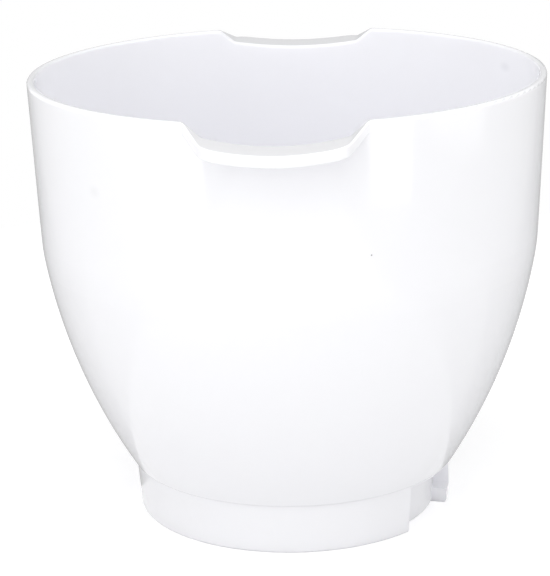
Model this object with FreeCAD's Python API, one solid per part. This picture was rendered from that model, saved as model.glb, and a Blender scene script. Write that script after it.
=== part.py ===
import FreeCAD, Part
import math
import os

# Mixing bowl of a kitchen machine, moulded in one piece of white plastic.
# Millimetres, +Z up. The origin is the centre of the foot ring on the surface that it stands on.
# The two grip notches face -Y (front) and +Y (back). Angles round the bowl run from -Y towards +X.

# Body of the bowl
rim_diameter = 215.0        # outside, at the very top
bowl_height = 188.0         # from the foot's edge to the rim
wall = 3.0
wall_draft = 2.5            # degrees that the straight upper wall leans outwards
straight_wall = 66.0        # height of the straight wall below the rim
bend_radius = 92.0          # tighter bend that ends the straight wall
bend_share = 0.22           # of the side's whole turn, from the straight wall to the neck
rim_round = 1.3             # rounding of both edges of the rim

# Floor and foot ring
neck_height = 21.7          # crease between the body and the foot ring
neck_step = 1.2             # how far the foot stands in from the body there
neck_round = 0.5            # rounding of the crease, on both of its edges
foot_diameter = 137.1       # outside, just under the crease
foot_draft = 4.2            # degrees that the foot ring narrows downwards
foot_wall = 3.0
foot_edge_round = 0.9
floor_thickness = 3.0
floor_above_neck = 1.5      # top of the floor above the crease
floor_corner_radius = 22.0  # inside, between floor and wall

# Grip notches in the rim and the lips that run out from them
notch_width = 69.4          # at the rim, between the sharp corners of the outline
notch_depth = 8.5           # at the middle
notch_sag_radius = 140.0    # the bottom of the notch is a shallow arc
shoulder_angle = 40.0       # degrees, slope of the notch's ends
shoulder_round = 4.0
lip_reach = 14.4            # from the rim's outside to the lip's outer edge
lip_thickness = 4.7
lip_taper = 27.0            # degrees that each end of the lip leans in, seen from above
lip_corner_radius = 9.0     # in plan
lip_edge_round = 0.6

# Turn-lock slots in the foot ring, each an open entry and a groove over a tongue
slot_count = 2
slot_angle = 47.5           # where the first entry starts
entry_span = 32.0           # degrees
groove_span = 7.5           # degrees, up to the start of the groove's round end
slot_depth = 6.3            # from the foot's outside in to the slot's back
slot_wall = 3.0             # walls round the slot, inside the foot
tongue_height = 6.2

up = FreeCAD.Vector(0, 0, 1)
centre = FreeCAD.Vector(0, 0, 0)
tolerance = 1e-4
edge_share = 0.45           # most of a wall that the rounding of one edge may take
rim_radius = rim_diameter / 2
neck_radius = foot_diameter / 2 + neck_step
floor_top = neck_height + floor_above_neck
underside = floor_top - floor_thickness
rim_edge = min(rim_round, edge_share * wall)
neck_edge = min(neck_round, edge_share * neck_step)
foot_edge = min(foot_edge_round, edge_share * foot_wall, edge_share * slot_wall)
lip_edge = min(lip_edge_round, edge_share * lip_thickness)


def point(radius, height):
    return FreeCAD.Vector(radius, 0, height)


def line(start, end):
    return Part.LineSegment(start, end).toShape()


def polar(middle, radius, angle):
    """Point of a circle in the XZ plane; the angle falls from +X, in degrees."""
    turn = math.radians(angle)
    return middle + FreeCAD.Vector(radius * math.cos(turn), 0, -radius * math.sin(turn))


def arc(middle, radius, start, end):
    through = polar(middle, radius, (start + end) / 2)
    return Part.Arc(polar(middle, radius, start), through, polar(middle, radius, end)).toShape()


def lines(points):
    return [line(start, end) for start, end in zip(points, points[1:])]


def face_of(edges):
    return Part.Face(Part.Wire(Part.__sortEdges__(edges)))


def distance_from_axis(place):
    return math.hypot(place.x, place.y)


# Side outline: straight wall, tighter bend and one long arc down to the neck.
# The inside is parallel to it, so both faces share the same arc centres.
def lean_of(chord):
    """Degrees that a chord leans inwards on its way down."""
    return math.degrees(math.atan2(-chord.x, -chord.z))


bend_start_point = point(rim_radius - straight_wall * math.tan(math.radians(wall_draft)),
                         bowl_height - straight_wall)
neck_point = point(neck_radius, neck_height)
whole_turn = 2 * (lean_of(neck_point - bend_start_point) - wall_draft)
bend_end = wall_draft + bend_share * whole_turn
bend_centre = polar(bend_start_point, -bend_radius, wall_draft)
bend_end_point = polar(bend_centre, bend_radius, bend_end)
chord = neck_point - bend_end_point
side_radius = chord.Length / (2 * math.sin(math.radians(lean_of(chord) - bend_end)))
side_end = 2 * lean_of(chord) - bend_end
side_centre = polar(bend_end_point, -side_radius, bend_end)


def wall_edges(inset, last_angle):
    """Edges from the rim down to last_angle on the long arc, moved inwards by inset."""
    top = point(rim_radius - inset / math.cos(math.radians(wall_draft)), bowl_height)
    return [line(top, polar(bend_centre, bend_radius - inset, wall_draft)),
            arc(bend_centre, bend_radius - inset, wall_draft, bend_end),
            arc(side_centre, side_radius - inset, bend_end, last_angle)]


def wall_radius(height):
    """Outside of the straight wall."""
    return rim_radius - (bowl_height - height) * math.tan(math.radians(wall_draft))


def foot_radius(height):
    """Outside of the foot ring."""
    return foot_diameter / 2 - (neck_height - height) * math.tan(math.radians(foot_draft))


def round_circle(solid, rounding, radius, height):
    """Rounds the edge of a turned solid that runs round the axis at this radius and height."""
    def on_it(vertex):
        return (abs(distance_from_axis(vertex.Point) - radius) < tolerance
                and abs(vertex.Point.z - height) < tolerance)
    return solid.makeFillet(rounding, [edge for edge in solid.Edges if all(map(on_it, edge.Vertexes))])


def make_body():
    outside = wall_edges(0.0, side_end)
    # The corner arc touches the floor and the inside of the long arc.
    corner_height = floor_top + floor_corner_radius
    reach = side_radius - wall - floor_corner_radius
    corner_x = side_centre.x + math.sqrt(reach ** 2 - (corner_height - side_centre.z) ** 2)
    corner_centre = point(corner_x, corner_height)
    touch = math.degrees(math.asin((side_centre.z - corner_height) / reach))
    inside = wall_edges(wall, touch)
    inside.append(arc(corner_centre, floor_corner_radius, touch, 90))
    bottom = lines([neck_point, point(foot_diameter / 2, neck_height),
                    point(foot_radius(0), 0), point(foot_radius(0) - foot_wall, 0),
                    point(foot_radius(underside) - foot_wall, underside),
                    point(0, underside), point(0, floor_top), point(corner_x, floor_top)])
    rim = line(inside[0].Vertexes[0].Point, outside[0].Vertexes[0].Point)
    body = face_of(outside + bottom + inside + [rim]).revolve(centre, up, 360)
    body = round_circle(body, rim_edge, rim_radius, bowl_height)
    body = round_circle(body, neck_edge, neck_radius, neck_height)
    body = round_circle(body, neck_edge, foot_diameter / 2, neck_height)
    body = round_circle(body, foot_edge, foot_radius(0), 0)
    return round_circle(body, foot_edge, foot_radius(0) - foot_wall, 0)


# Turn-lock slots
slot_back = foot_radius(0) - slot_depth
groove_height = underside - tongue_height
end_span = math.degrees(groove_height / slot_back)
outside_foot = neck_radius + wall


def sector(edges, start, span):
    """Turns a closed outline about the axis, from start over span degrees."""
    solid = face_of(edges).revolve(centre, up, span)
    solid.rotate(centre, up, start - 90)
    return solid


def make_pocket():
    """Wall that closes one slot off from the inside of the foot."""
    side = math.degrees(slot_wall / slot_back)
    inner = slot_back - slot_wall
    edges = lines([point(inner, foot_edge), point(inner, underside),
                   point(foot_radius(underside) - foot_wall / 2, underside),
                   point(foot_radius(0) - foot_wall / 2, 0), point(inner + foot_edge, 0)])
    edges.append(arc(point(inner + foot_edge, foot_edge), foot_edge, 90, 180))
    return sector(edges, slot_angle - side, entry_span + groove_span + end_span + 2 * side)


def make_slot():
    """Space of one slot: the entry is open below, and the groove runs on over the tongue to a round end."""
    edges = lines([point(slot_back, foot_edge), point(slot_back, underside),
                   point(outside_foot, underside), point(outside_foot, -wall),
                   point(slot_back - foot_edge, -wall), point(slot_back - foot_edge, 0)])
    edges.append(arc(point(slot_back - foot_edge, foot_edge), foot_edge, 0, 90))
    entry = sector(edges, slot_angle, entry_span)
    section = [point(slot_back, tongue_height), point(slot_back, underside), point(outside_foot, underside),
               point(outside_foot, tongue_height), point(slot_back, tongue_height)]
    groove = sector(lines(section), slot_angle, entry_span + groove_span)
    end_angle = slot_angle + entry_span + groove_span
    turn = math.radians(end_angle)
    outwards = FreeCAD.Vector(math.sin(turn), -math.cos(turn), 0)
    round_end = Part.makeCylinder(groove_height, 2 * outside_foot, point(0, underside), outwards)
    round_end = round_end.common(sector(lines(section), end_angle, 2 * end_span))
    return entry.fuse([groove, round_end])


def add_slots(body):
    for index in range(slot_count):
        turn = index * 360.0 / slot_count
        pocket = make_pocket().rotated(centre, up, turn)
        body = body.fuse(pocket).cut(make_slot().rotated(centre, up, turn))
    return body


# Notches and lips
def notch_curve(drop, end):
    """Edges of a notch's upper outline seen from the front, lowered by drop, from -end to +end."""
    slope = math.radians(shoulder_angle)
    along = FreeCAD.Vector(math.cos(slope), 0, math.sin(slope))
    away = FreeCAD.Vector(-math.sin(slope), 0, math.cos(slope))
    top = bowl_height - drop
    corner = point(notch_width / 2, top)
    sag_centre = point(0, top - notch_depth + notch_sag_radius)
    # rounding between the rim and the shoulder
    rim_touch = corner + point(shoulder_round * math.tan(slope / 2), 0)
    rim_centre = rim_touch - point(0, shoulder_round)
    shoulder_top = rim_centre + away * shoulder_round
    rim_middle = rim_centre + (away + up).normalize() * shoulder_round
    # rounding between the shoulder and the sagging bottom: it touches both from above
    offset = corner + away * shoulder_round - sag_centre
    reach = notch_sag_radius - shoulder_round
    travel = offset.dot(along) + math.sqrt(offset.dot(along) ** 2 + reach ** 2 - offset.dot(offset))
    foot_centre = sag_centre + offset - along * travel
    shoulder_foot = foot_centre - away * shoulder_round
    sagwards = (foot_centre - sag_centre).normalize()
    sag_touch = foot_centre + sagwards * shoulder_round
    foot_middle = foot_centre + (sagwards - away).normalize() * shoulder_round
    half = [line(point(end, top), rim_touch),
            Part.Arc(rim_touch, rim_middle, shoulder_top).toShape(),
            line(shoulder_top, shoulder_foot),
            Part.Arc(shoulder_foot, foot_middle, sag_touch).toShape()]
    mirrored = [edge.mirror(centre, FreeCAD.Vector(1, 0, 0)) for edge in half]
    left_touch = FreeCAD.Vector(-sag_touch.x, 0, sag_touch.z)
    sag = Part.Arc(sag_touch, point(0, top - notch_depth), left_touch).toShape()
    return half + [sag] + mirrored


def front_prism(edges):
    """Runs a closed outline from inside the bowl out past the front lip."""
    far = rim_radius + 2 * lip_reach
    face = face_of(edges)
    face.translate(FreeCAD.Vector(0, -far, 0))
    return face.extrude(FreeCAD.Vector(0, far - rim_radius / 2, 0))


def make_notch():
    """Space of the front notch."""
    end = notch_width / 2 + shoulder_round
    above = bowl_height + notch_depth
    box = lines([point(end, bowl_height), point(end, above), point(-end, above), point(-end, bowl_height)])
    return front_prism(notch_curve(0, end) + box)


def inner_rim(body):
    """Edges of the closed loop where the inside of the wall meets the rim and the notches."""
    def on_it(vertex):
        height = vertex.Point.z
        return (height > bowl_height - notch_depth - wall
                and distance_from_axis(vertex.Point) < wall_radius(height) - wall / 2)
    return [edge for edge in body.Edges if all(map(on_it, edge.Vertexes))]


def is_upright(edge):
    ends = [vertex.Point for vertex in edge.Vertexes]
    return abs(abs(ends[0].z - ends[-1].z) - edge.Length) < tolerance


def make_lip():
    """Front lip: a flange that carries the notch's outline outwards between two leaning ends."""
    low = bowl_height - notch_depth - lip_thickness
    root = wall_radius(low) - wall / 6
    reach = rim_radius + lip_reach
    wall_y = math.sqrt(rim_radius ** 2 - notch_width ** 2 / 4)
    lean = math.tan(math.radians(lip_taper))
    narrow = notch_width / 2 - (reach - wall_y) * lean
    wide = notch_width / 2 + (wall_y - rim_radius / 2) * lean
    inside_y = -rim_radius / 2
    outline = ((-narrow, -reach), (narrow, -reach), (wide, inside_y), (-wide, inside_y), (-narrow, -reach))
    corners = [FreeCAD.Vector(x, y, low - wall) for x, y in outline]
    height = bowl_height - low + wall
    plan = Part.Face(Part.makePolygon(corners)).extrude(up * height)
    plan = plan.common(Part.makeCylinder(reach, height, point(0, low - wall)))
    upright = [edge for edge in plan.Edges if is_upright(edge)]
    outer_corners = [edge for edge in upright if distance_from_axis(edge.CenterOfMass) > rim_radius]
    plan = plan.makeFillet(lip_corner_radius, outer_corners)
    end = notch_width
    sides = [line(point(side * end, bowl_height), point(side * end, bowl_height - lip_thickness))
             for side in (-1, 1)]
    ribbon = front_prism(notch_curve(0, end) + notch_curve(lip_thickness, end) + sides)
    lip = plan.common(ribbon).cut(Part.makeCylinder(root, bowl_height, centre))
    return lip.makeFillet(lip_edge, outer_edges(lip, root))


def outer_edges(lip, root):
    """Upper and lower edges of the lip's upright faces, apart from the face that is buried in the wall."""
    edges = []
    for face in lip.Faces:
        start_u, end_u, start_v, end_v = face.ParameterRange
        upright = abs(face.normalAt((start_u + end_u) / 2, (start_v + end_v) / 2).z) < tolerance
        if upright and distance_from_axis(face.CenterOfMass) > root:
            edges += [edge for edge in face.Edges if not is_upright(edge)]
    return edges


body = add_slots(make_body())
notch = make_notch()
lip = make_lip()
turns = (0, 180)
for turn in turns:
    body = body.cut(notch.rotated(centre, up, turn))
body = body.makeFillet(rim_edge, inner_rim(body))
for turn in turns:
    body = body.fuse(lip.rotated(centre, up, turn))
body = body.removeSplitter()

os.makedirs("parts", exist_ok=True)
body.exportStep("parts/bowl.step")
print("bowl", body.isValid(), len(body.Solids), round(body.Volume), body.BoundBox)
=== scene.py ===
import math
import bmesh
import bpy
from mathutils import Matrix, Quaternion, Vector

# A one-piece white mixing bowl, standing on a white table in a soft studio.
# Metres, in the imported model's frame: the foot ring stands on z = 0, and the grips face -Y and +Y.

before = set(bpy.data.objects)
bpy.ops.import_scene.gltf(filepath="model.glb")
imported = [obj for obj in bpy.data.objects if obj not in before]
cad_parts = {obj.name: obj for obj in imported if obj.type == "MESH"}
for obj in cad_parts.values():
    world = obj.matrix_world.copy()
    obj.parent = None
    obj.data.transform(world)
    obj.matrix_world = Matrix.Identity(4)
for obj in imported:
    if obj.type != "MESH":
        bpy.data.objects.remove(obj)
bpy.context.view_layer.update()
scene = bpy.context.scene
scene.view_settings.view_transform = "Standard"


def linearFromHex(hexText):
    # sRGB hex to the linear colour that shaders take
    linear = []
    for place in (0, 2, 4):
        share = int(hexText[place:place + 2], 16) / 255
        linear.append(share / 12.92 if share <= 0.04045 else ((share + 0.055) / 1.055) ** 2.4)
    return (*linear, 1.0)


def addNode(tree, kind, settings=None, links=None):
    # settings go to properties or, by name or number, to input sockets; links are input: output socket
    node = tree.nodes.new(kind)
    for name, value in (settings or {}).items():
        if isinstance(name, int) or not hasattr(node, name):
            node.inputs[name].default_value = value
        else:
            setattr(node, name, value)
    for name, socket in (links or {}).items():
        tree.links.new(socket, node.inputs[name])
    return node


def emptyMaterial(name):
    made = bpy.data.materials.new(name)
    made.use_nodes = True
    made.node_tree.nodes.clear()
    return made, made.node_tree


# Injection-moulded polypropylene, glossy white. It gives the eye a clean clear reflection that wavers a
# little with the mould's polish, a cool milky white, and the few marks that handling has left.
plastic = {
    "colour": "F8F8FD",
    "flowColour": "F7F7FC",         # where the melt flowed, hardly seen
    "flowSize": 0.060,              # patches of flow
    "flowDetail": 2.0,
    "roughness": (0.06, 0.10),      # polished mould, with faint haze
    "hazeSize": 0.025,
    "hazeDetail": 3.0,
    "hazeRange": (0.3, 0.7),        # part of the noise that the roughness spreads over
    "waveSize": 0.009,              # the slight waver of a moulded wall
    "waveDetail": 1.0,
    "waveHeight": 0.00003,
    "grainSize": 0.0012,            # the mould's own texture, drawn coarser than it is
    "grainDetail": 2.0,
    "grainHeight": 0.000002,
    "ior": 1.49,
    "scatter": 0.5,
    "scatterDepth": 0.004,
}
marks = {
    # place, half size along x, y and z, share of it that is edge, and colour
    "darkSpeck": {"at": (0.0352, -0.0992, 0.1357), "size": (0.0004, 0.0004, 0.0004), "edge": 0.4,
                  "colour": "A8A8AE"},
    "outerSmudge": {"at": (-0.0718, -0.0781, 0.1561), "size": (0.0045, 0.0045, 0.0038), "edge": 1.0,
                    "colour": "F2F2F6"},
    "innerSmudge": {"at": (0.0931, 0.0467, 0.1793), "size": (0.0050, 0.0060, 0.0030), "edge": 1.0,
                    "colour": "EFEFF4"},
}


def makePlastic():
    made, tree = emptyMaterial("mouldedPolypropylene")
    place = addNode(tree, "ShaderNodeTexCoord").outputs["Object"]
    flow = addNode(tree, "ShaderNodeTexNoise", {
        "Scale": 1 / plastic["flowSize"], "Detail": plastic["flowDetail"],
    }, {"Vector": place})
    colour = addNode(tree, "ShaderNodeMix", {
        "data_type": "RGBA", 6: linearFromHex(plastic["colour"]), 7: linearFromHex(plastic["flowColour"]),
    }, {"Factor": flow.outputs[0]}).outputs[2]
    for mark in marks.values():
        local = addNode(tree, "ShaderNodeMapping", {
            "vector_type": "TEXTURE", "Location": mark["at"], "Scale": mark["size"],
        }, {"Vector": place})
        away = addNode(tree, "ShaderNodeVectorMath", {"operation": "LENGTH"}, {0: local.outputs["Vector"]})
        cover = addNode(tree, "ShaderNodeMapRange", {
            "interpolation_type": "SMOOTHSTEP", "From Min": 1 - mark["edge"], "From Max": 1.0,
            "To Min": 1.0, "To Max": 0.0,
        }, {"Value": away.outputs["Value"]})
        colour = addNode(tree, "ShaderNodeMix", {
            "data_type": "RGBA", 7: linearFromHex(mark["colour"]),
        }, {"Factor": cover.outputs["Result"], 6: colour}).outputs[2]
    haze = addNode(tree, "ShaderNodeTexNoise", {
        "Scale": 1 / plastic["hazeSize"], "Detail": plastic["hazeDetail"],
    }, {"Vector": place})
    rough = addNode(tree, "ShaderNodeMapRange", {
        "From Min": plastic["hazeRange"][0], "From Max": plastic["hazeRange"][1],
        "To Min": plastic["roughness"][0], "To Max": plastic["roughness"][1],
    }, {"Value": haze.outputs[0]})
    wave = addNode(tree, "ShaderNodeTexNoise", {
        "Scale": 1 / plastic["waveSize"], "Detail": plastic["waveDetail"],
    }, {"Vector": place})
    grain = addNode(tree, "ShaderNodeTexNoise", {
        "Scale": 1 / plastic["grainSize"], "Detail": plastic["grainDetail"],
    }, {"Vector": place})
    waveBump = addNode(tree, "ShaderNodeBump", {"Strength": 1.0, "Distance": plastic["waveHeight"]},
                       {"Height": wave.outputs[0]})
    grainBump = addNode(tree, "ShaderNodeBump", {"Strength": 1.0, "Distance": plastic["grainHeight"]},
                        {"Height": grain.outputs[0], "Normal": waveBump.outputs["Normal"]})
    surface = addNode(tree, "ShaderNodeBsdfPrincipled", {
        "IOR": plastic["ior"],
        "Subsurface Weight": plastic["scatter"],
        "Subsurface Radius": (1.0, 1.0, 1.0),
        "Subsurface Scale": plastic["scatterDepth"],
    }, {"Base Color": colour, "Roughness": rough.outputs["Result"], "Normal": grainBump.outputs["Normal"]})
    addNode(tree, "ShaderNodeOutputMaterial", links={"Surface": surface.outputs["BSDF"]})
    return made


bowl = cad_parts["bowl"]
bowl.material_slots[0].material = makePlastic()
print("bowl finished")


def backgroundShare(tree):
    # 1 for every ray that shows the background: seen directly, mirrored or through something clear
    path = addNode(tree, "ShaderNodeLightPath")
    seen = addNode(tree, "ShaderNodeMath", {"operation": "MAXIMUM"},
                   {0: path.outputs["Is Camera Ray"], 1: path.outputs["Is Glossy Ray"]})
    return addNode(tree, "ShaderNodeMath", {"operation": "MAXIMUM"},
                   {0: seen.outputs[0], 1: path.outputs["Is Transmission Ray"]}).outputs[0]


def mattPaint(name, hexText):
    made, tree = emptyMaterial(name)
    paint = addNode(tree, "ShaderNodeBsdfDiffuse", {"Color": linearFromHex(hexText)})
    addNode(tree, "ShaderNodeOutputMaterial", links={"Surface": paint.outputs[0]})
    return made


def discMesh(radius, steps):
    disc = bmesh.new()
    bmesh.ops.create_circle(disc, cap_ends=True, segments=steps, radius=radius)
    return disc


def stageObject(name, mesh, material):
    data = bpy.data.meshes.new(name)
    mesh.to_mesh(data)
    mesh.free()
    data.materials.append(material)
    made = bpy.data.objects.new(name, data)
    scene.collection.objects.link(made)
    return made


# Oval white table, from the bowl's middle forwards: the bowl's front mirrors it and its outline doesn't
table = {
    "middle": -0.33,
    "halfWidth": 0.26,
    "halfDepth": 0.35,
    "edgeSteps": 128,
    "colour": "D9D9D9",
    "lift": 0.47,           # added where it shows as background, so that it is white there
}
shadowBoard = {"radius": 0.50, "below": 0.0003}


def makeTable():
    # painted board: pale and matt, lifted to white for the rays that show the background; its shadows stay
    made, tree = emptyMaterial("whitePaintedBoard")
    paint = addNode(tree, "ShaderNodeBsdfDiffuse", {"Color": linearFromHex(table["colour"])})
    glow = addNode(tree, "ShaderNodeEmission", {"Strength": table["lift"]})
    lifted = addNode(tree, "ShaderNodeAddShader", links={0: paint.outputs[0], 1: glow.outputs[0]})
    mix = addNode(tree, "ShaderNodeMixShader",
                  links={0: backgroundShare(tree), 1: paint.outputs[0], 2: lifted.outputs[0]})
    addNode(tree, "ShaderNodeOutputMaterial", links={"Surface": mix.outputs[0]})
    oval = discMesh(1, table["edgeSteps"])
    bmesh.ops.scale(oval, verts=oval.verts, vec=(table["halfWidth"], table["halfDepth"], 1))
    bmesh.ops.translate(oval, verts=oval.verts, vec=(0, table["middle"], 0))
    stageObject("table", oval, made)

    # the same white goes on round the table for the camera alone, and holds the shadows that fall past it
    around = discMesh(shadowBoard["radius"], table["edgeSteps"])
    bmesh.ops.translate(around, verts=around.verts, vec=(0, 0, -shadowBoard["below"]))
    board = stageObject("shadowBoard", around, made)
    board.visible_diffuse = False
    board.visible_glossy = False
    board.visible_shadow = False


# White studio floor, below the table, which throws light up at the bowl
studioFloor = {"depth": 0.36, "radius": 4.0, "edgeSteps": 64, "colour": "ECECEC"}


def makeStudioFloor():
    ground = discMesh(studioFloor["radius"], studioFloor["edgeSteps"])
    bmesh.ops.translate(ground, verts=ground.verts, vec=(0, 0, -studioFloor["depth"]))
    made = stageObject("studioFloor", ground, mattPaint("whiteStudioFloor", studioFloor["colour"]))
    made.visible_camera = False


# Grey paper sweep behind, which the bowl mirrors, so that its outline shows against the white.
# The camera sees neither the sweep nor the studio floor.
backSweep = {
    "width": 2.6,
    "near": 0.32,           # from here to the far edge it lies just over the floor
    "far": 2.0,
    "overFloor": 0.005,
    "rise": 2.56,           # height of the upright part
    "bendRound": 0.35,
    "bendSteps": 8,
    "colour": "D0D0D0",
}


def makeBackSweep():
    sweep = bmesh.new()
    bmesh.ops.create_grid(sweep, x_segments=1, y_segments=1, size=0.5)
    depth = backSweep["far"] - backSweep["near"]
    bmesh.ops.scale(sweep, verts=sweep.verts, vec=(backSweep["width"], depth, 1))
    middle = (backSweep["far"] + backSweep["near"]) / 2
    low = backSweep["overFloor"] - studioFloor["depth"]
    bmesh.ops.translate(sweep, verts=sweep.verts, vec=(0, middle, low))
    farEdge = [edge for edge in sweep.edges if all(vert.co.y > middle for vert in edge.verts)]
    raised = bmesh.ops.extrude_edge_only(sweep, edges=farEdge)["geom"]
    raisedVerts = [item for item in raised if isinstance(item, bmesh.types.BMVert)]
    bmesh.ops.translate(sweep, verts=raisedVerts, vec=(0, 0, backSweep["rise"]))
    bmesh.ops.bevel(sweep, geom=farEdge, offset=backSweep["bendRound"], affect="EDGES",
                    segments=backSweep["bendSteps"], profile=0.5, material=-1)
    made = stageObject("backSweep", sweep, mattPaint("greyPaper", backSweep["colour"]))
    made.visible_camera = False


world = {"ambient": 0.48, "background": 1.0}


def makeWorld():
    # soft light from all round, and white wherever the background shows
    scene.world = bpy.data.worlds.new("studio")
    scene.world.use_nodes = True
    tree = scene.world.node_tree
    tree.nodes.clear()
    ambient = addNode(tree, "ShaderNodeBackground", {"Color": (1, 1, 1, 1), "Strength": world["ambient"]})
    white = addNode(tree, "ShaderNodeBackground", {"Color": (1, 1, 1, 1), "Strength": world["background"]})
    mix = addNode(tree, "ShaderNodeMixShader",
                  links={0: backgroundShare(tree), 1: ambient.outputs[0], 2: white.outputs[0]})
    addNode(tree, "ShaderNodeOutputWorld", links={"Surface": mix.outputs[0]})


softboxes = {
    # direction is degrees round the bowl from -Y towards +X; distance is level; middle and aim are heights
    "leftSoftbox": {"direction": -45.5, "distance": 1.15, "middle": 0.43, "aim": 0.43, "width": 0.50,
                    "height": 1.34, "radiance": 1.80},
    "rightSoftbox": {"direction": 46.0, "distance": 1.15, "middle": 0.40, "aim": 0.40, "width": 0.38,
                     "height": 1.20, "radiance": 1.92},
    "topSoftbox": {"direction": 3.0, "distance": 0.45, "middle": 1.62, "aim": 0.12, "width": 2.40,
                   "height": 1.90, "radiance": 1.16},
    "frontSoftbox": {"direction": -15.0, "distance": 1.15, "middle": 0.48, "aim": 0.12, "width": 1.20,
                     "height": 0.80, "radiance": 0.62},
    "leftSideSoftbox": {"direction": -80.0, "distance": 1.45, "middle": 0.51, "aim": 0.12, "width": 0.80,
                        "height": 0.80, "radiance": 0.75},
    "rightSideSoftbox": {"direction": 80.0, "distance": 1.45, "middle": 0.25, "aim": 0.12, "width": 0.80,
                         "height": 1.00, "radiance": 1.00},
}


def makeSoftbox(name, box):
    lamp = bpy.data.lights.new(name, "AREA")
    lamp.shape = "RECTANGLE"
    lamp.size = box["width"]
    lamp.size_y = box["height"]
    lamp.energy = box["radiance"] * math.pi * box["width"] * box["height"]
    turn = math.radians(box["direction"])
    made = bpy.data.objects.new(name, lamp)
    made.location = (math.sin(turn) * box["distance"], -math.cos(turn) * box["distance"], box["middle"])
    beam = Vector((0, 0, box["aim"])) - made.location
    made.rotation_euler = beam.to_track_quat("-Z", "Y").to_euler()
    made.visible_camera = False
    scene.collection.objects.link(made)


makeTable()
makeStudioFloor()
makeBackSweep()
makeWorld()
for name, box in softboxes.items():
    makeSoftbox(name, box)
print("table, studio and light made")

# The camera, where the photograph was taken from
camera = {
    "target": (-0.00675, -0.00035, 0.09373),
    "distance": 0.91833,
    "azimuth": 3.0,         # degrees from -Y towards +X
    "elevation": 16.54,
    "roll": 1.28,           # the photograph's right side is turned up
    "lens": 134.23,         # millimetres
    "sensor": 36,           # millimetres, the longer side
}


def makeCamera():
    turn = math.radians(camera["azimuth"])
    rise = math.radians(camera["elevation"])
    back = Vector((math.sin(turn) * math.cos(rise), -math.cos(turn) * math.cos(rise), math.sin(rise)))
    data = bpy.data.cameras.new("camera")
    data.sensor_width = camera["sensor"]
    data.lens = camera["lens"]
    made = bpy.data.objects.new("camera", data)
    made.location = Vector(camera["target"]) + back * camera["distance"]
    made.rotation_mode = "QUATERNION"
    roll = Quaternion((0, 0, 1), -math.radians(camera["roll"]))
    made.rotation_quaternion = (-back).to_track_quat("-Z", "Y") @ roll
    scene.collection.objects.link(made)
    scene.camera = made


makeCamera()
print("camera set")
